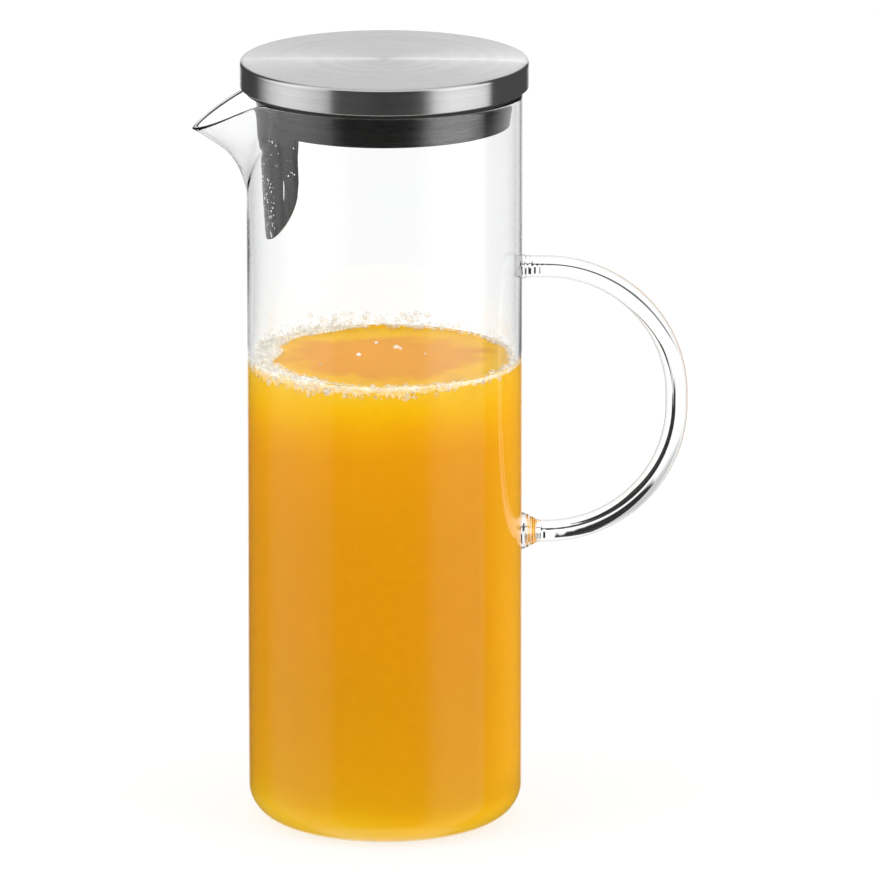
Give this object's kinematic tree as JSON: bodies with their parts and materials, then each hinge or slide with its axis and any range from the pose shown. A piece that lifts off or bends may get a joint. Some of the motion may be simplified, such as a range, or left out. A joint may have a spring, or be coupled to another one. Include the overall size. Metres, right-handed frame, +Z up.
{
  "type": "glass pitcher with lid",
  "caption": "Tall cylindrical glass pitcher with a pulled spout, a bent glass rod handle and a brushed steel lid that lifts off and turns, filled with orange juice.",
  "frame": {"origin": "centre of the flat foot, on the jug's axis", "axes": "+Z up along the jug's axis, +X towards the handle, the spout on -X"},
  "size_m": [0.1711, 0.0994, 0.2688],
  "materials": {
    "clear_glass": "clear, fire polished",
    "handle_glass": "clear, fire polished",
    "black_silicone": "matt",
    "brushed_lid_steel": "brushed",
    "core_plastic": "moulded",
    "dark_guard_steel": "satin",
    "orange_juice": "cloudy liquid",
    "juice_foam": "bubbles"
  },
  "bodies": {
    "jug": {"glass_body": "clear_glass", "handle": "handle_glass", "orange_juice": "orange_juice", "juice_foam": "juice_foam"},
    "seal": {"sealing_ring": "black_silicone"},
    "lid": {"lid_cap": "brushed_lid_steel", "lid_core": "core_plastic", "spout_guard": "dark_guard_steel"}
  },
  "joints": [
    {"name": "lid_lift", "type": "slide", "parent": "jug", "child": "seal", "axis": [0, 0, 1], "range_m": [0, 0.08]},
    {"name": "lid_turn", "type": "hinge", "parent": "seal", "child": "lid", "pos_m": [0, 0, 0.2594], "axis": [0, 0, 1], "continuous": true}
  ]
}
